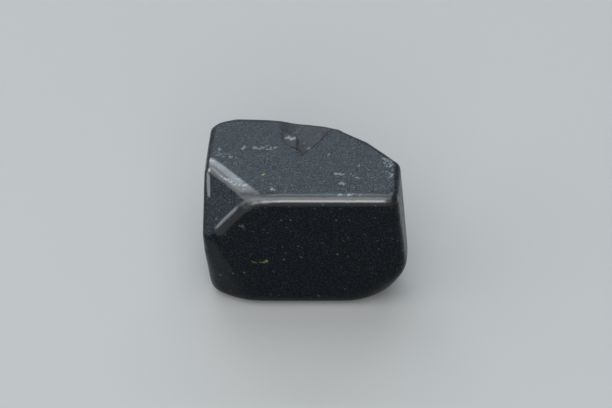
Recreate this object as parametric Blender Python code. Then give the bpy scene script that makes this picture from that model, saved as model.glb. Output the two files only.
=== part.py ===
"""Onyx stone: a small tumbled black stone, blocky, with one cut corner and one chip.

The stone is one solid. It starts as a block that is cut back to a sharp core, one
cut for each worn flat. A ball of the wear radius at every corner of the core, with a
skin pulled tight over the balls, gives the flats their rounded edges. A flake is then
struck off the back of the top.

The frame: +X runs along the stone's length, -Y faces the front flat, +Z is up. The
origin is on the resting flat, in the middle of the stone's footprint box.
"""
import bmesh
import bpy
from math import cos, radians, sin
from mathutils import Euler, Matrix, Vector

NAME = "onyx_stone"
MM = 0.001

# Driving dimensions, in millimetres. All the modelling is in millimetres too, and the
# finished mesh is scaled to metres.
HEIGHT = 16.45
MIDDLE_HEIGHT = 8.2
WEAR_RADIUS = 1.0
ROUGH_BLOCK = 60.0

# Each worn flat: its turn about Z from +X and its tilt above level, in degrees, then
# its reach from the stone's middle, which is MIDDLE_HEIGHT over the origin.
FLATS = {
    "top": (0, 90, HEIGHT - MIDDLE_HEIGHT),
    "resting_flat": (0, -90, MIDDLE_HEIGHT),
    "front": (-90, 0, 7.6),
    "cut_corner": (-141, 32.5, 12.55),
    "cut_corner_upper_bevel": (-141, 72, 10.5),
    "cut_corner_lower_bevel": (-141, 50, 12.3),
    "cut_corner_front_bevel": (-110, 16, 11.0),
    "cut_corner_front_end": (-112, 47, 11.85),
    "left": (175.5, -2.5, 11.35),
    "left_under": (176, -16, 12.85),
    "back_left": (136, 2, 12.75),
    "back_left_end": (108, 4, 10.7),
    "back": (88, 4, 8.3),
    "back_middle": (83, 3, 7.75),
    "back_bend": (69, 2, 7.3),
    "back_right": (55, 2, 7.45),
    "back_right_end": (43, 2, 8.1),
    "right_behind": (13, 2, 10.9),
    "right": (-3, 6, 11.85),
    "right_under": (-11, -25, 12.85),
    "right_front_under": (-58, -35, 12.1),
    "front_under": (-90, -35, 10.35),
    "front_left_under": (-116, -11, 10.85),
    "front_left_toe": (-118, -38, 12.8),
    "left_toe": (165, -44, 12.5),
    "back_left_toe": (130, -42, 11.6),
    "back_toe": (92, -42, 9.3),
    "back_right_toe": (54, -40, 8.6),
    "right_toe": (4, -48, 11.9),
}

# Steps of the wear balls: 4 gives each rounded edge a facet about every 8 degrees.
BALL_STEPS = 4
# Faces that meet flatter than this are one face.
SAME_FLAT_ANGLE = radians(0.2)

# The flake scar: a shallow scoop that runs off the back of the top. Its ball is
# stretched to these half sizes, turned, and hung over the top by its middle.
SCAR_HALF_SIZES = Vector((6.0, 12.4, 6.0))
SCAR_MIDDLE = Vector((-0.2, 6.0, HEIGHT + 5.35))
SCAR_TURN = Euler((radians(-2), 0, radians(8)))
SCAR_SEGMENTS = 64
SCAR_RINGS = 48

# Finish: polished black, seen as near black with a cold cast.
STONE_COLOUR = (0.008, 0.010, 0.013, 1)
STONE_ROUGHNESS = 0.25


def clear_scene():
    """Remove every object, so that the file holds the stone alone."""
    for thing in list(bpy.data.objects):
        bpy.data.objects.remove(thing, do_unlink=True)


def new_collection(name):
    """Make a collection in the scene."""
    collection = bpy.data.collections.new(name)
    bpy.context.scene.collection.children.link(collection)
    return collection


def new_object(name, shape, collection):
    """Turn a finished bmesh into an object of a collection."""
    mesh = bpy.data.meshes.new(name)
    shape.to_mesh(mesh)
    shape.free()
    thing = bpy.data.objects.new(name, mesh)
    collection.objects.link(thing)
    return thing


def facing(turn, tilt):
    """The direction of a flat that faces turn about Z and tilt above level, in degrees."""
    turn = radians(turn)
    tilt = radians(tilt)
    return Vector((cos(tilt) * cos(turn), cos(tilt) * sin(turn), sin(tilt)))


def cut_flat(shape, outward, reach):
    """Cut a closed shape back to one flat and close the cut."""
    middle = Vector((0, 0, MIDDLE_HEIGHT))
    everything = shape.verts[:] + shape.edges[:] + shape.faces[:]
    cut = bmesh.ops.bisect_plane(
        shape, geom=everything, plane_co=middle + outward * reach, plane_no=outward, clear_outer=True
    )
    rim = [item for item in cut["geom_cut"] if isinstance(item, bmesh.types.BMEdge)]
    if rim:
        bmesh.ops.edgeloop_fill(shape, edges=rim)


def sharp_core():
    """The stone's block without its rounding: every flat set in by the wear radius."""
    shape = bmesh.new()
    bmesh.ops.create_cube(shape, size=ROUGH_BLOCK)
    for turn, tilt, reach in FLATS.values():
        cut_flat(shape, facing(turn, tilt), reach - WEAR_RADIUS)
    return shape


def worn_block():
    """The core with a wear ball at each corner, inside one tight skin."""
    core = sharp_core()
    balls = bmesh.new()
    for corner in core.verts:
        bmesh.ops.create_icosphere(
            balls, subdivisions=BALL_STEPS, radius=WEAR_RADIUS, matrix=Matrix.Translation(corner.co)
        )
    core.free()
    skin = bmesh.new()
    for point in balls.verts:
        skin.verts.new(point.co)
    balls.free()
    hull = bmesh.ops.convex_hull(skin, input=skin.verts)
    bmesh.ops.delete(skin, geom=hull["geom_interior"], context="VERTS")
    loose = [point for point in skin.verts if not point.link_faces]
    bmesh.ops.delete(skin, geom=loose, context="VERTS")
    bmesh.ops.dissolve_limit(skin, angle_limit=SAME_FLAT_ANGLE, verts=skin.verts, edges=skin.edges)
    return skin


def stand_on_origin(shape):
    """Move a shape so that the origin is under the middle of its box, then set metres."""
    xs = [point.co.x for point in shape.verts]
    ys = [point.co.y for point in shape.verts]
    zs = [point.co.z for point in shape.verts]
    offset = Vector((min(xs) + max(xs), min(ys) + max(ys), 2 * min(zs))) / -2
    bmesh.ops.translate(shape, vec=offset, verts=shape.verts)
    bmesh.ops.scale(shape, vec=Vector((MM, MM, MM)), verts=shape.verts)
    return offset


def flake_cutter(collection, offset):
    """The ball that takes the flake off the back of the top."""
    shape = bmesh.new()
    bmesh.ops.create_uvsphere(shape, u_segments=SCAR_SEGMENTS, v_segments=SCAR_RINGS, radius=1)
    stretch = Matrix.Diagonal(SCAR_HALF_SIZES).to_4x4()
    place = Matrix.Translation(SCAR_MIDDLE + offset) @ SCAR_TURN.to_matrix().to_4x4()
    bmesh.ops.transform(shape, matrix=Matrix.Scale(MM, 4) @ place @ stretch, verts=shape.verts)
    cutter = new_object("flake_cutter", shape, collection)
    cutter.hide_render = True
    cutter.display_type = "WIRE"
    return cutter


def stone_material():
    """Polished black stone."""
    material = bpy.data.materials.new("polished_black_onyx")
    material.use_nodes = True
    finish = material.node_tree.nodes["Principled BSDF"]
    finish.inputs["Base Color"].default_value = STONE_COLOUR
    finish.inputs["Roughness"].default_value = STONE_ROUGHNESS
    finish.inputs["Metallic"].default_value = 0
    return material


def make_stone():
    """Build the stone and strike its flake off."""
    stones = new_collection(NAME)
    cutters = new_collection("cutters")
    block = worn_block()
    offset = stand_on_origin(block)
    stone = new_object(NAME, block, stones)
    stone.data.materials.append(stone_material())
    stone.data.shade_smooth()
    flake = stone.modifiers.new("flake", "BOOLEAN")
    flake.operation = "DIFFERENCE"
    flake.solver = "EXACT"
    flake.object = flake_cutter(cutters, offset)
    shading = stone.modifiers.new("flat_faces_shade_flat", "WEIGHTED_NORMAL")
    shading.keep_sharp = True
    return stone


def main():
    clear_scene()
    make_stone()


main()
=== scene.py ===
"""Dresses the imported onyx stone: its worn surface, its finish, and a small studio.

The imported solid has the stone's flats, its rounded edges and its flake scar. Here a fine
grid is laid over that solid, softened as tumbling softens a stone, worked with the small
wear that the stone has, and finished as polished black onyx.

Places on the stone are in millimetres in the solid's own frame: +X along the stone, -Y out of
its front flat, +Z up. A finished mesh is scaled to metres. Colours are linear.
"""

from math import cos, radians, sin

import bmesh
import bpy
import numpy as np
from bpy.props import FloatProperty, FloatVectorProperty, IntProperty, PointerProperty
from bpy.types import Operator, Panel, PropertyGroup
from mathutils import Matrix, Vector, noise
from mathutils.bvhtree import BVHTree


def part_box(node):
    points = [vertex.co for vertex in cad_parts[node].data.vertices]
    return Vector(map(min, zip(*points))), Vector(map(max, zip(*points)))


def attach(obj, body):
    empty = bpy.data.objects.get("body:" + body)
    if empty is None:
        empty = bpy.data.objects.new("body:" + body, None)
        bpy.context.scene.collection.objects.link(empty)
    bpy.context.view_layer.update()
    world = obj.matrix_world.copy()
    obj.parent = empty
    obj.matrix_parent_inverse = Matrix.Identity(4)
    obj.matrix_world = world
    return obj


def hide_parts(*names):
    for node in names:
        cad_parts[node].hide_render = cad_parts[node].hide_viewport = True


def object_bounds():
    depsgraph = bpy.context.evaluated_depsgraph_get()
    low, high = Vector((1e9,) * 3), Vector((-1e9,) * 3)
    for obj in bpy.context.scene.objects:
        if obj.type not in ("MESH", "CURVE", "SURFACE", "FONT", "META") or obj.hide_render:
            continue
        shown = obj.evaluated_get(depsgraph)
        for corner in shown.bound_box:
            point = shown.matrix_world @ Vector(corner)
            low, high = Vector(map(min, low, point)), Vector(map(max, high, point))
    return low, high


bl_info = {
    "name": "Onyx Stone",
    "version": (1, 0, 0),
    "blender": (4, 5, 0),
    "location": "3D View > Sidebar > Onyx Stone",
    "description": "Makes a tumbled black onyx stone round its packed solid, and a small studio",
    "category": "Object",
}

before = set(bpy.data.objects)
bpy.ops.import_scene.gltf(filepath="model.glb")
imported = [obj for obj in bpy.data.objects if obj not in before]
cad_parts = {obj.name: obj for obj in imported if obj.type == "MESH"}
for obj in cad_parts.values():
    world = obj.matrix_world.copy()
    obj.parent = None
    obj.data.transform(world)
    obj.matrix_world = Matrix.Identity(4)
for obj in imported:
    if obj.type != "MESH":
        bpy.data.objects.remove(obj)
CAD_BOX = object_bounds()

MM = 0.001
NODE = "onyx_stone"

# The height of the top.
TOP = 16.45

# Narrow flats worn along the edge above the cut corner, upper and lower: the turn about Z
# from +X and the tilt above level, in degrees, then the reach from the origin.
NARROW_FLATS = ((-141, 82.5, 17.386), (-141, 69, 18.66))

# The edges that tumbling has polished, as lines of places on the stone.
FRONT_EDGE = ((-5.6, -7.95, 16.15), (9.7, -7.95, 16.15), (10.6, -7.2, 16.2))
CORNER_UPPER_EDGE = ((-11.3, -1.3, 16.2), (-9.9, -2.9, 16.2), (-6.9, -6.6, 16.2), (-5.6, -7.95, 16.15))
CORNER_LOWER_EDGE = (
    (-6.4, -7.9, 15.7), (-7.9, -8.05, 14.4), (-8.7, -8.05, 13.45), (-9.5, -8.05, 12.45),
    (-10.1, -8.1, 11.6),
)
LEFT_EDGE = ((-11.4, -2.3, 16.0), (-11.4, -4.6, 14.1))
# Each polished edge and its half width. The polish is full up to a share of that width.
POLISHED_EDGES = (
    (FRONT_EDGE, 0.9), (CORNER_UPPER_EDGE, 1.0), (CORNER_LOWER_EDGE, 0.75), (LEFT_EDGE, 0.3)
)
POLISH_CORE = 0.75

# Places that are worn rounder: a line, how far round it the wear reaches, extra passes. The
# wear is full up to a share of its reach.
SOFT_PLACES = (
    (((-6.4, -7.6, 16.0), (-5.4, -7.4, 16.2)), 2.4, 110),
    (CORNER_LOWER_EDGE, 1.9, 70),
    (((10.4, -7.6, 16.0), (10.8, -7.6, 15.0)), 2.0, 60),
)
SOFT_CORE = 0.4
# The toe is worn round: the heights where that starts and where it is full, and the passes.
TOE_HEIGHTS = (2.0, 8.0)
TOE_PASSES = 240
PASS_GROUP = 5

# The flake scar, seen from above. The ridge is its left edge, the hinge its right one, where
# the flake ended. Left of the ridge's end the stone is crushed, down to a short crack.
RIDGE = ((-4.5, 6.45), (-3.65, 5.9), (-2.95, 5.1), (-2.1, 4.15), (-1.2, 3.8), (-1.05, 3.05))
CRACK = ((-2.6, 2.85), (-1.85, 1.9), (-1.15, 1.5), (-0.7, 0.95), (-0.35, 0.2))
HINGE = (
    (-1.5, 0.0), (-0.9, 0.1), (-0.35, 0.2), (0.35, 1.15), (0.95, 2.05), (1.5, 2.65), (2.25, 3.8),
    (2.8, 4.95),
)
SCAR = RIDGE + ((-1.0, 1.6), (-0.7, 0.95)) + HINGE[2:] + ((3.3, 7.5), (-4.5, 7.5))
CRUSHED = ((-2.9, 4.5), (-2.1, 4.15), (-1.2, 3.8), (-1.05, 3.05)) + CRACK[::-1]
# How far each outline's rim is blended, inwards being more than 0, and how far below the top
# its stone may lie: where it is gone, and where it is full.
SCAR_RIM = (-0.05, 0.15)
SCAR_DEPTHS = (1.6, 1.2)
CRUSHED_RIM = (-0.1, 0.15)
CRUSHED_DEPTHS = (1.2, 0.8)
# The scar is reworked between these places in Y, from X = 0 out to these, and down to a depth
# below the top. Beyond them the solid's own form stays.
REWORKED_FRONT = (-1.6, -1.2)
REWORKED_BACK = (4.3, 5.4)
REWORKED_ACROSS = (3.6, 4.4)
REWORKED_DEPTH = 1.5
# The step at the scar's edge: the blend of its wall, its depth and where the depth runs out.
STEP_WALL = (-0.08, 0.12)
STEP_DEPTH = 0.14
STEP_REACH = (0.1, 1.4)
# The crushed stone slopes down from the ridge and, from a share of its depth, from the crack.
CRUSHED_DEPTH = 0.2
RIDGE_SLOPE = 0.5
CRACK_SLOPE = 0.9
CRACK_SHARE = 0.35

# A groove along the edge above the cut corner, and a streak near the left end of the top.
CORNER_GROOVE = ((-10.9, -1.9, 16.2), (-9.85, -3.35, 16.2), (-8.85, -4.4, 16.22), (-8.3, -5.1, 16.22))
LEFT_STREAK = ((-10.25, 2.3, TOP), (-9.9, -0.4, TOP))


def on_top(line):
    """A line seen from above, laid on the top."""
    return tuple((x, y, TOP) for x, y in line)


# Lines cut into the surface: places, half width, depth.
CARVED_LINES = (
    (CORNER_GROOVE, 0.22, 0.055),
    (on_top(CRACK), 0.16, 0.13),
    (on_top(HINGE), 0.2, 0.07),
    (LEFT_STREAK, 0.2, 0.03),
)

# Pale flecks, and three painted highlights: a line to scatter them along, how many, how far off it,
# radius, strength.
FLECKS_AND_HIGHLIGHTS = (
    (((-7.7, 1.3, TOP), (-4.0, 1.35, TOP)), 22, 0.16, 0.11, 0.8),
    (((-10.0, 0.2, TOP), (-8.5, -0.3, TOP)), 14, 0.35, 0.10, 0.6),
    (LEFT_STREAK, 14, 0.05, 0.10, 0.55),
    (((9.1, -0.5, TOP), (9.85, -1.9, TOP), (9.85, -4.4, TOP)), 44, 0.22, 0.10, 0.75),
    (((3.3, -3.4, TOP), (4.5, -3.6, TOP)), 12, 0.06, 0.10, 0.8),
    (((5.2, -3.8, TOP), (6.1, -4.2, TOP)), 9, 0.08, 0.10, 0.7),
    (((3.9, -5.1, TOP), (4.4, -5.3, TOP)), 8, 0.1, 0.12, 0.9),
    # A painted highlight: a small white glint on the top near its front edge.
    (((-4.05, -6.3, TOP), (-3.35, -6.6, TOP)), 3, 0.02, 0.14, 1.3),
    (((6.15, -2.05, TOP), (6.2, -2.1, TOP)), 1, 0.0, 0.13, 1.2),
    (((2.7, 0.2, TOP), (2.75, 0.2, TOP)), 1, 0.0, 0.13, 1.0),
    (((0.3, 1.8, 16.2), (0.4, 1.8, 16.2)), 2, 0.05, 0.14, 1.2),
    (((-3.6, 1.35, TOP), (-3.5, 1.35, TOP)), 2, 0.05, 0.13, 1.0),
    (((-8.9, -4.3, 16.2), (-7.2, -6.0, 16.2)), 16, 0.12, 0.09, 0.7),
    (((3.8, -7.3, TOP), (6.3, -7.35, TOP)), 9, 0.1, 0.11, 0.9),
    # A painted highlight: the bright facet beside the end of the scar's ridge, painted pale.
    (((-2.4, 3.55, 16.3), (-1.25, 3.3, 16.3)), 18, 0.12, 0.13, 1.2),
    # A painted highlight: a bright spot at the upper end of the left edge.
    (((-11.3, -2.3, 16.0), (-11.3, -2.4, 15.95)), 3, 0.05, 0.14, 1.3),
    (((10.9, -6.5, 13.2), (11.0, -6.3, 8.2)), 24, 0.12, 0.09, 0.35),
    (((-8.1, -8.1, 12.65), (-6.95, -8.2, 12.2)), 7, 0.12, 0.12, 0.28),
)
# Yellowish specks, most of them in the front, given as the flecks are.
YELLOW_SPECKS = (
    (((-6.5, -8.2, 7.05), (-4.9, -8.2, 7.0)), 8, 0.05, 0.08, 0.35),
    (((-4.8, -8.2, 6.9), (-4.4, -8.2, 7.5)), 6, 0.06, 0.11, 0.9),
    (((-5.1, -3.65, TOP), (-5.05, -3.65, TOP)), 2, 0.05, 0.12, 1.4),
)
# Flecks strewn over the whole stone: how many, radius, strength.
STREWN_FLECKS = ((260, 0.07, 0.25), (90, 0.10, 0.45))
# Pits strewn over the whole stone: how many, radius, depth.
STREWN_PITS = ((500, 0.24, 0.018), (120, 0.4, 0.03))
# The sizes that flecks and pits take in turn, and how far out each is full and gone, all as
# shares of the radius.
DOT_SIZES = (0.8, 1.0, 1.2)
DOT_CORE = 0.35
DOT_RIM = 1.5

# Slow waves in the surface: length and height. Near the foot they fade between two heights.
WAVES = ((4.5, 0.035), (1.6, 0.010))
FOOT_HEIGHTS = (0.3, 2.0)
# The broken stone is rougher: the lumps' length and height, and the scar floor's share of both
# the roughness and the broken finish.
ROUGH_LENGTH = 0.35
ROUGH_HEIGHT = 0.05
FLOOR_ROUGHNESS = 0.4
FLOOR_FINISH = 0.5
SEED = 7

# The haze's share on an upright side, and how level a place is where it starts and is full.
UPRIGHT_HAZE = 0.35
HAZE_SLOPES = (0.1, 0.9)
# The lumps of the finish's patterns, from the slow mottling down to the small painted glints.
MOTTLE_SIZE = 1.7
GRAIN_SIZE = 0.30
FINE_SIZE = 0.21
GLINT_SIZE = 0.17
# How strongly the fine haze and the painted glints show.
FINE_STRENGTH = 0.55
GLINT_STRENGTH = 0.9
# Roughness at the polished edges, and what the flats, their mottling and breakage add.
EDGE_ROUGHNESS = 0.22
FLAT_ROUGHNESS = -0.04
MOTTLE_ROUGHNESS = 0.12
BROKEN_ROUGHNESS = 0.25
COAT_ROUGHNESS = 0.27
# The coat's least weight at the polished edges; the grain adds the rest.
COAT_WEIGHT = 0.86
# The grain's height, and its share at the polished edges.
BUMP_HEIGHT = 0.09
EDGE_BUMP = 0.15

# The studio's soft panels: a name, the turn from the camera's side and the rise, in degrees,
# the width and height in metres, the radiance and the colour.
PANELS = (
    ("key_panel", 0, 30, (0.6, 0.46), 11.0, (0.96, 0.98, 1.0)),
    ("front_left_panel", -60, 42, (0.7, 0.5), 2.8, (0.98, 0.98, 1.0)),
    ("left_panel", -130, 46, (0.9, 0.55), 2.5, (0.95, 0.97, 1.0)),
    ("low_left_panel", -82, 10, (0.8, 0.3), 5.0, (0.80, 0.91, 1.0)),
    ("top_panel", 0, 70, (0.9, 0.7), 4.2, (0.93, 0.97, 1.0)),
    ("over_back_panel", 180, 68, (0.9, 0.42), 2.4, (0.86, 0.94, 1.0)),
    ("back_panel", 180, 39, (0.9, 0.22), 10.0, (0.72, 0.88, 1.0)),
)
# In metres: how far off the panels are, the place they face, and half the floor's width.
PANEL_DISTANCE = 0.9
PANEL_TARGET = (0, 0, 0.01)
FLOOR_HALF_WIDTH = 3
# The dim surroundings.
WORLD_COLOUR = (0.9, 0.95, 1.0)
WORLD_STRENGTH = 0.25
# The point that the camera looks at, and the width of its sensor.
CAMERA_TARGET = (0, 4.075, 5.799)
SENSOR_WIDTH = 36


class StoneShape(PropertyGroup):
    """Sizes of the stone's surface."""

    spacing: FloatProperty(
        name="Grid Spacing",
        description="Distance between the points of the grid that is laid over the solid",
        default=0.155 * MM,
        unit="LENGTH",
    )
    tumbling: IntProperty(
        name="Tumbling",
        description="Smoothing passes that soften the solid's rounded edges",
        default=10,
    )


class StoneFinish(PropertyGroup):
    """Colours and gloss of the stone."""

    body: FloatVectorProperty(
        name="Body",
        description="Colour of the stone itself, which is nearly black",
        default=(0.0008, 0.0012, 0.0018),
        subtype="COLOR",
        size=3,
    )
    # Also the colour of the painted glints among the specks.
    specks: FloatVectorProperty(
        name="Specks",
        description="Colour of the fine specks on the hazy flats",
        default=(0.022, 0.031, 0.039),
        subtype="COLOR",
        size=3,
    )
    broken: FloatVectorProperty(
        name="Broken",
        description="Colour of the broken stone in the flake scar",
        default=(0.022, 0.020, 0.020),
        subtype="COLOR",
        size=3,
    )
    # Also the colour of the painted highlights.
    fleck_and_highlight: FloatVectorProperty(
        name="Flecks",
        description="Colour of the pale flecks",
        default=(0.105, 0.115, 0.120),
        subtype="COLOR",
        size=3,
    )
    yellow: FloatVectorProperty(
        name="Yellow Specks",
        description="Colour of the few yellowish specks",
        default=(0.120, 0.110, 0.035),
        subtype="COLOR",
        size=3,
    )
    specular: FloatProperty(
        name="Specular Level",
        description="Strength of the reflection under the polish",
        default=0.11,
        subtype="FACTOR",
    )


class Studio(PropertyGroup):
    """The floor, the lights and the camera."""

    floor: FloatVectorProperty(
        name="Floor",
        description="Colour of the plain floor",
        default=(0.20, 0.20, 0.195),
        subtype="COLOR",
        size=3,
    )
    camera_distance: FloatProperty(
        name="Camera Distance",
        description="Distance from the camera to the point it looks at",
        default=543 * MM,
        unit="LENGTH",
    )
    camera_tilt: FloatProperty(
        name="Camera Tilt",
        description="Angle at which the camera looks down",
        default=radians(39),
        subtype="ANGLE",
    )
    lens: FloatProperty(
        name="Lens",
        description="Focal length of the camera, in millimetres on a 36 mm sensor",
        default=268.82,
    )


def runs_along(edge, axis):
    """Whether an edge lies along one of the axes."""
    along = edge.verts[1].co - edge.verts[0].co
    return abs(along[axis]) > 0.5 * along.length


def grid_block(low, high, spacing):
    """A closed block whose six sides are even grids."""
    shape = bmesh.new()
    bmesh.ops.create_cube(shape, size=1)
    bmesh.ops.scale(shape, vec=high - low, verts=shape.verts)
    bmesh.ops.translate(shape, vec=(low + high) / 2, verts=shape.verts)
    for axis in range(3):
        edges = [edge for edge in shape.edges if runs_along(edge, axis)]
        cuts = round((high - low)[axis] / spacing) - 1
        bmesh.ops.subdivide_edges(shape, edges=edges, cuts=cuts, use_grid_fill=True)
    return shape


def packed_surface(node):
    """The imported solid's surface, to lay the grid on. The copy's loose triangles are merged."""
    copy = bmesh.new()
    copy.from_mesh(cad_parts[node].data)
    bmesh.ops.remove_doubles(copy, verts=copy.verts, dist=0.0001 * MM)
    surface = BVHTree.FromBMesh(copy)
    copy.free()
    return surface


def wrap(shape, surface, middle):
    """Move each point of a block straight in from the middle until it lies on a surface."""
    for point in shape.verts:
        place = surface.ray_cast(middle, (point.co - middle).normalized())[0]
        if place is None:
            place = surface.find_nearest(point.co)[0]
        point.co = place


def facing(turn, tilt):
    """The direction of a flat that faces turn about Z from +X and tilt above level, in degrees."""
    turn, tilt = radians(turn), radians(tilt)
    return Vector((cos(tilt) * cos(turn), cos(tilt) * sin(turn), sin(tilt)))


def shave(shape, turn, tilt, reach):
    """Wear one flat into a shape: what stands further out than its reach is pressed back."""
    outward = facing(turn, tilt)
    for point in shape.verts:
        proud = point.co.dot(outward) - reach * MM
        if proud > 0:
            point.co -= outward * proud


def distance_to(points, line):
    """The distance from each point to a line of straight stretches."""
    nearest = np.full(len(points), np.inf)
    for start, end in zip(line, line[1:]):
        start = np.array(start, float)
        along = np.array(end, float) - start
        share = np.clip((points - start) @ along / (along @ along), 0, 1)
        away = np.linalg.norm(points - start - share[:, None] * along, axis=1)
        nearest = np.minimum(nearest, away)
    return nearest


def within(points, outline):
    """How far each point is inside an outline seen from above; outside, the number is negative."""
    x, y = points[:, 0], points[:, 1]
    inner = np.zeros(len(points), bool)
    for (x0, y0), (x1, y1) in zip(outline, outline[1:] + outline[:1]):
        if y0 != y1:
            crossed = ((y0 > y) != (y1 > y)) & (x < (x1 - x0) * (y - y0) / (y1 - y0) + x0)
            inner ^= crossed
    away = distance_to(points[:, :2], outline + outline[:1])
    return np.where(inner, away, -away)


def tumbling_passes(points, usual):
    """How many smoothing passes each place gets: more at the soft places and at the toe."""
    passes = np.full(len(points), float(usual))
    for line, radius, extra in SOFT_PLACES:
        passes += extra * (1 - smoothstep(SOFT_CORE * radius, radius, distance_to(points, line)))
    passes += TOE_PASSES * (1 - smoothstep(*TOE_HEIGHTS, points[:, 2]))
    return passes


def soften(shape, usual):
    """Tumble a shape: each pass rounds its edges a little more."""
    places = np.array([point.co for point in shape.verts]) / MM
    passes = tumbling_passes(places, usual)
    for done in range(0, int(passes.max()), PASS_GROUP):
        chosen = [point for point, wanted in zip(shape.verts, passes) if wanted > done]
        for _ in range(PASS_GROUP):
            bmesh.ops.smooth_vert(
                shape, verts=chosen, factor=0.5, use_axis_x=True, use_axis_y=True, use_axis_z=True
            )


def points_of(mesh):
    """The places of a mesh's points, in millimetres."""
    flat = np.empty(len(mesh.vertices) * 3, np.float32)
    mesh.vertices.foreach_get("co", flat)
    return flat.reshape(-1, 3).astype(float) / MM


def set_points(mesh, points):
    """Put the points of a mesh at places given in millimetres."""
    mesh.vertices.foreach_set("co", (points * MM).astype(np.float32).ravel())
    mesh.update()


def normals_of(mesh):
    """The outward directions at a mesh's points."""
    flat = np.empty(len(mesh.vertices) * 3, np.float32)
    mesh.vertex_normals.foreach_get("vector", flat)
    return flat.reshape(-1, 3).astype(float)


def smoothstep(low, high, values):
    """0 below low, 1 above high, and an even blend between."""
    share = np.clip((values - low) / (high - low), 0, 1)
    return share * share * (3 - 2 * share)


def polish_at(points):
    """How polished each place is, from 0 on the hazy flats to 1 on the worn edges."""
    polish = np.zeros(len(points))
    for line, half_width in POLISHED_EDGES:
        away = distance_to(points, line)
        polish = np.maximum(polish, 1 - smoothstep(POLISH_CORE * half_width, half_width, away))
    return polish


def inside_at(points, outline, rim, depths):
    """How much of each place is inside an outline on the top, and not far below the top."""
    gone, full = depths
    inner = smoothstep(*rim, within(points, outline))
    return inner * smoothstep(TOP - gone, TOP - full, points[:, 2])


def crushed_at(points):
    """How crushed each place is: 1 on the bruised stone beside the scar's ridge."""
    return inside_at(points, CRUSHED, CRUSHED_RIM, CRUSHED_DEPTHS)


def scarred_at(points):
    """How much of each place is the scar's broken floor."""
    return inside_at(points, SCAR, SCAR_RIM, SCAR_DEPTHS)


def rework_scar(points):
    """Give the scar its true edges: a step at the hinge, a ridge, and the crushed stone."""
    x, y, z = points.T
    near = (1 - smoothstep(*REWORKED_BACK, y)) * smoothstep(*REWORKED_FRONT, y)
    near *= (1 - smoothstep(*REWORKED_ACROSS, np.abs(x))) * (z > TOP - REWORKED_DEPTH)
    depth = within(points, SCAR)
    inner = smoothstep(*STEP_WALL, depth)
    level = z + (TOP - z) * (1 - inner) * near
    step = STEP_DEPTH * inner * near * (1 - smoothstep(*STEP_REACH, depth))
    facet = smoothstep(0, RIDGE_SLOPE, distance_to(points[:, :2], RIDGE))
    rise = smoothstep(0, CRACK_SLOPE, distance_to(points[:, :2], CRACK))
    crushed = CRUSHED_DEPTH * crushed_at(points) * facet * (CRACK_SHARE + (1 - CRACK_SHARE) * rise)
    points[:, 2] = level - step - crushed * near


def carve(points, normals, line, half_width, depth):
    """Press a line into the surface."""
    share = depth * (1 - smoothstep(0, half_width, distance_to(points, line)))
    points -= normals * share[:, None]


def scatter(rng, line, count, off):
    """Random places along a line and a little off it."""
    line = np.array(line, float)
    stretch = rng.integers(0, len(line) - 1, count)
    share = rng.random(count)[:, None]
    along = line[stretch] * (1 - share) + line[stretch + 1] * share
    return along + rng.normal(0, 1, (count, 3)) * off


def dots(points, places, radius):
    """1 at the surface nearest to each place, falling to 0 at a radius that varies a little."""
    shown = np.zeros(len(points))
    for index, place in enumerate(places):
        nearest = points[np.argmin(((points - place) ** 2).sum(1))]
        away = np.sqrt(((points - nearest) ** 2).sum(1))
        size = radius * DOT_SIZES[index % len(DOT_SIZES)]
        shown = np.maximum(shown, 1 - smoothstep(DOT_CORE * size, DOT_RIM * size, away))
    return shown


def strewn(rng, points, count):
    """Random places all over the stone."""
    return points[rng.integers(0, len(points), count)]


def marks(rng, points, groups):
    """The strength of a list of marks at each point: flecks, specks and painted highlights."""
    shown = np.zeros(len(points))
    for line, count, off, radius, strength in groups:
        shown = np.maximum(shown, strength * dots(points, scatter(rng, line, count, off), radius))
    return shown


def fleck_and_highlight_at(rng, points):
    """How pale each place is: the listed flecks and painted highlights, and the strewn flecks."""
    shown = marks(rng, points, FLECKS_AND_HIGHLIGHTS)
    for count, radius, strength in STREWN_FLECKS:
        shown = np.maximum(shown, strength * dots(points, strewn(rng, points, count), radius))
    return shown


def lumps(points, length):
    """Even random heights from about -1 to 1, whose lumps are about one length."""
    return np.array([noise.noise(Vector(place / length)) for place in points])


def wear(mesh, rng):
    """Work the small wear into the surface: the scar's edges, cut lines, pits and slow waves."""
    points = points_of(mesh)
    normals = normals_of(mesh)
    rework_scar(points)
    for line, half_width, depth in CARVED_LINES:
        carve(points, normals, line, half_width, depth)
    for count, radius, depth in STREWN_PITS:
        points -= normals * (depth * dots(points, strewn(rng, points, count), radius))[:, None]
    off_foot = smoothstep(*FOOT_HEIGHTS, points[:, 2])
    broken = np.maximum(crushed_at(points), FLOOR_ROUGHNESS * scarred_at(points))
    for length, height in WAVES:
        points += normals * (height * lumps(points, length) * off_foot)[:, None]
    points += normals * (ROUGH_HEIGHT * lumps(points, ROUGH_LENGTH) * broken)[:, None]
    low, high = (np.array(corner) / MM for corner in CAD_BOX)
    set_points(mesh, np.clip(points, low, high))


def set_attribute(mesh, name, values):
    """Store one number a point for the finish to read."""
    layer = mesh.attributes.new(name, "FLOAT", "POINT")
    layer.data.foreach_set("value", values.astype(np.float32))


def store_looks(mesh, rng):
    """Store what the finish reads: where the stone is polished, hazy, broken, flecked and painted with
    highlights.
    """
    points = points_of(mesh)
    set_attribute(mesh, "polish", polish_at(points) * (1 - crushed_at(points)))
    level = smoothstep(*HAZE_SLOPES, normals_of(mesh)[:, 2])
    set_attribute(mesh, "haze", UPRIGHT_HAZE + (1 - UPRIGHT_HAZE) * level)
    set_attribute(mesh, "broken", np.maximum(crushed_at(points), FLOOR_FINISH * scarred_at(points)))
    set_attribute(mesh, "fleck_and_highlight", fleck_and_highlight_at(rng, points))
    set_attribute(mesh, "yellow", marks(rng, points, YELLOW_SPECKS))


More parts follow.
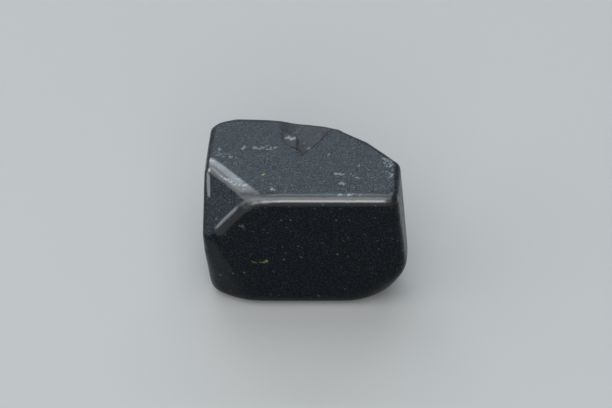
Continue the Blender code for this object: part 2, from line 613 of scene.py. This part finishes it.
class Value:
    """A socket that takes part in sums, so that shader maths reads as plain Python."""

    def __init__(self, graph, socket):
        self.graph = graph
        self.socket = socket

    def sum(self, operation, *terms):
        return self.graph.add("ShaderNodeMath", {"operation": operation}, dict(enumerate(terms)))

    def __add__(self, other):
        return self.sum("ADD", self, other)

    def __sub__(self, other):
        return self.sum("SUBTRACT", self, other)

    def __rsub__(self, other):
        return self.sum("SUBTRACT", other, self)

    def __mul__(self, other):
        return self.sum("MULTIPLY", self, other)

    __radd__ = __add__
    __rmul__ = __mul__


class Graph:
    """Adds nodes to the tree of one material."""

    def __init__(self, material):
        material.use_nodes = True
        self.tree = material.node_tree
        self.shader = self.tree.nodes["Principled BSDF"]

    def add(self, kind, settings=None, sockets=None, output=0):
        """Add a node: its settings come first, then the values and links of its sockets."""
        node = self.tree.nodes.new(kind)
        for name, setting in (settings or {}).items():
            setattr(node, name, setting)
        for name, value in (sockets or {}).items():
            self.feed(node.inputs[name], value)
        return Value(self, node.outputs[output])

    def feed(self, socket, value):
        """Link a socket, or set its constant."""
        if isinstance(value, Value):
            self.tree.links.new(value.socket, socket)
        else:
            socket.default_value = value

    def step(self, value, low, high):
        """A smooth step from 0 at low to 1 at high."""
        sockets = {"Value": value, "From Min": low, "From Max": high}
        return self.add("ShaderNodeMapRange", {"interpolation_type": "SMOOTHSTEP"}, sockets)

    def noise(self, place, size, detail=2.0, rough=0.5):
        """Noise whose lumps are about one size, in millimetres."""
        sockets = {"Vector": place, "Scale": 1 / (size * MM), "Detail": detail, "Roughness": rough}
        return self.add("ShaderNodeTexNoise", None, sockets)

    def mix(self, share, first, second):
        """Blend two colours."""
        # A Mix node's colour sockets share their names with others, so they go by number.
        sockets = {0: share, 6: first, 7: second}
        return self.add("ShaderNodeMix", {"data_type": "RGBA"}, sockets, 2)

    def attribute(self, name):
        """One of the numbers stored on the surface."""
        return self.add("ShaderNodeAttribute", {"attribute_name": name}, output="Fac")


def with_alpha(colour):
    """A colour as a socket takes it."""
    return (*colour, 1)


def onyx_finish(finish):
    """Polished black onyx: glossy where it is worn round, hazed by tiny pits on the flats, with
    painted glints and painted highlights in its colour.
    """
    material = bpy.data.materials.new("polished_black_onyx")
    graph = Graph(material)
    shader = graph.shader
    place = graph.add("ShaderNodeTexCoord", output="Object")
    polish = graph.attribute("polish")
    broken = graph.attribute("broken")
    flats = 1 - polish
    grain = graph.noise(place, GRAIN_SIZE, 3, 0.65)
    mottle = graph.noise(place, MOTTLE_SIZE, 3, 0.6)
    fine = graph.step(graph.noise(place, FINE_SIZE, 2, 0.6), 0.44, 0.66) * (0.35 + mottle * 1.1)
    # Painted glints: sparse small bright specks painted into the colour, standing in for the pits
    # catching the lamps.
    painted_glints = graph.step(graph.noise(place, GLINT_SIZE, 1, 0.5), 0.62, 0.72)
    # The specks are partly the pits' fine haze and partly painted glints.
    specks = (fine * FINE_STRENGTH + painted_glints * GLINT_STRENGTH) * flats * graph.attribute("haze")
    colour = graph.mix(specks, with_alpha(finish.body), with_alpha(finish.specks))
    colour = graph.mix(broken * (0.4 + grain * 0.8), colour, with_alpha(finish.broken))
    # Pale flecks, and highlights painted in the same pale colour.
    colour = graph.mix(graph.attribute("fleck_and_highlight"), colour, with_alpha(finish.fleck_and_highlight))
    colour = graph.mix(graph.attribute("yellow"), colour, with_alpha(finish.yellow))
    graph.feed(shader.inputs["Base Color"], colour)
    roughness = EDGE_ROUGHNESS + flats * FLAT_ROUGHNESS + flats * mottle * MOTTLE_ROUGHNESS
    graph.feed(shader.inputs["Roughness"], roughness + broken * BROKEN_ROUGHNESS)
    graph.feed(shader.inputs["Coat Weight"], polish * (COAT_WEIGHT + grain * (1 - COAT_WEIGHT)))
    shader.inputs["Coat Roughness"].default_value = COAT_ROUGHNESS
    shader.inputs["Specular IOR Level"].default_value = finish.specular
    strength = EDGE_BUMP + flats * (1 - EDGE_BUMP)
    sockets = {"Strength": strength, "Distance": BUMP_HEIGHT * MM, "Height": grain}
    graph.feed(shader.inputs["Normal"], graph.add("ShaderNodeBump", None, sockets))
    return material


def finish_piece(name, mesh, material):
    """Put a finished mesh in the scene as a piece of the stone."""
    mesh.materials.append(material)
    mesh.shade_smooth()
    piece = bpy.data.objects.new(name, mesh)
    bpy.context.scene.collection.objects.link(piece)
    return piece


def make_stone(shape, finish):
    """The stone's outer surface."""
    low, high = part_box(NODE)
    block = grid_block(low, high, shape.spacing)
    wrap(block, packed_surface(NODE), (low + high) / 2)
    for flat in NARROW_FLATS:
        shave(block, *flat)
    soften(block, shape.tumbling)
    mesh = bpy.data.meshes.new("onyx_stone_surface")
    block.to_mesh(mesh)
    block.free()
    rng = np.random.default_rng(SEED)
    wear(mesh, rng)
    store_looks(mesh, rng)
    stone = finish_piece("onyx_stone_surface", mesh, onyx_finish(finish))
    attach(stone, "root")
    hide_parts(NODE)


def aim(thing, place, target):
    """Put a light or a camera at a place and turn it to face a target."""
    thing.location = place
    thing.rotation_euler = (Vector(target) - Vector(place)).to_track_quat("-Z", "Y").to_euler()


def direction(turn, rise):
    """The direction at a turn from the camera's side, to the right, and a rise above level."""
    raised = Matrix.Rotation(radians(-rise), 3, "X") @ Vector((0, -1, 0))
    return Matrix.Rotation(radians(turn), 3, "Z") @ raised


def soft_light(name, turn, rise, size, radiance, colour):
    """A soft panel light, given by the radiance of its face."""
    lamp = bpy.data.lights.new(name, "AREA")
    lamp.shape = "RECTANGLE"
    lamp.size, lamp.size_y = size
    lamp.energy = radiance * np.pi * size[0] * size[1]
    lamp.color = colour
    panel = bpy.data.objects.new(name, lamp)
    bpy.context.scene.collection.objects.link(panel)
    aim(panel, direction(turn, rise) * PANEL_DISTANCE, PANEL_TARGET)


def make_floor(colour):
    """A plain pale floor."""
    mesh = bpy.data.meshes.new("studio_floor")
    sheet = bmesh.new()
    bmesh.ops.create_grid(sheet, x_segments=1, y_segments=1, size=FLOOR_HALF_WIDTH)
    sheet.to_mesh(mesh)
    sheet.free()
    material = bpy.data.materials.new("studio_floor")
    graph = Graph(material)
    graph.feed(graph.shader.inputs["Base Color"], with_alpha(colour))
    graph.feed(graph.shader.inputs["Roughness"], 0.9)
    graph.feed(graph.shader.inputs["Specular IOR Level"], 0.1)
    mesh.materials.append(material)
    floor = bpy.data.objects.new("studio_floor", mesh)
    bpy.context.scene.collection.objects.link(floor)


def make_lights():
    """The studio's soft panels and its dim surroundings."""
    for panel in PANELS:
        soft_light(*panel)
    world = bpy.data.worlds.new("studio")
    world.use_nodes = True
    background = world.node_tree.nodes["Background"]
    background.inputs["Color"].default_value = with_alpha(WORLD_COLOUR)
    background.inputs["Strength"].default_value = WORLD_STRENGTH
    bpy.context.scene.world = world


def make_camera(studio):
    """The camera at the viewing angle, with the stone where the view has it."""
    lens = bpy.data.cameras.new("camera")
    lens.sensor_width = SENSOR_WIDTH
    lens.lens = studio.lens
    lens.clip_start = 0.01
    lens.clip_end = 20
    camera = bpy.data.objects.new("camera", lens)
    bpy.context.scene.collection.objects.link(camera)
    target = Vector(CAMERA_TARGET) * MM
    back = Matrix.Rotation(-studio.camera_tilt, 3, "X") @ Vector((0, -1, 0))
    aim(camera, target + back * studio.camera_distance, target)
    bpy.context.scene.camera = camera


class ONYX_OT_stone(Operator):
    """Make the onyx stone's surface and its finish"""

    bl_idname = "onyx.stone"
    bl_label = "Make Stone"

    def execute(self, context):
        make_stone(context.scene.onyx_shape, context.scene.onyx_finish)
        return {"FINISHED"}


class ONYX_OT_stage(Operator):
    """Set the plain floor, the soft lights and the camera"""

    bl_idname = "onyx.stage"
    bl_label = "Set Stage"

    def execute(self, context):
        studio = context.scene.onyx_studio
        make_floor(studio.floor)
        make_lights()
        make_camera(studio)
        context.scene.view_settings.view_transform = "Standard"
        return {"FINISHED"}


class ONYX_PT_sidebar(Panel):
    """Lists the operators and their settings"""

    bl_label = "Onyx Stone"
    bl_space_type = "VIEW_3D"
    bl_region_type = "UI"
    bl_category = "Onyx Stone"

    def draw(self, context):
        for operator in OPERATORS:
            self.layout.operator(operator.bl_idname)
        for name in GROUPS:
            group = getattr(context.scene, name)
            for setting in group.__annotations__:
                self.layout.prop(group, setting)


GROUPS = {"onyx_shape": StoneShape, "onyx_finish": StoneFinish, "onyx_studio": Studio}
OPERATORS = (ONYX_OT_stone, ONYX_OT_stage)


def register():
    for kind in (*GROUPS.values(), *OPERATORS, ONYX_PT_sidebar):
        bpy.utils.register_class(kind)
    for name, kind in GROUPS.items():
        setattr(bpy.types.Scene, name, PointerProperty(type=kind))


def unregister():
    for name in GROUPS:
        delattr(bpy.types.Scene, name)
    for kind in (ONYX_PT_sidebar, *OPERATORS, *GROUPS.values()):
        bpy.utils.unregister_class(kind)


def main():
    register()
    bpy.ops.onyx.stone()
    bpy.ops.onyx.stage()


if __name__ == "__main__":
    main()
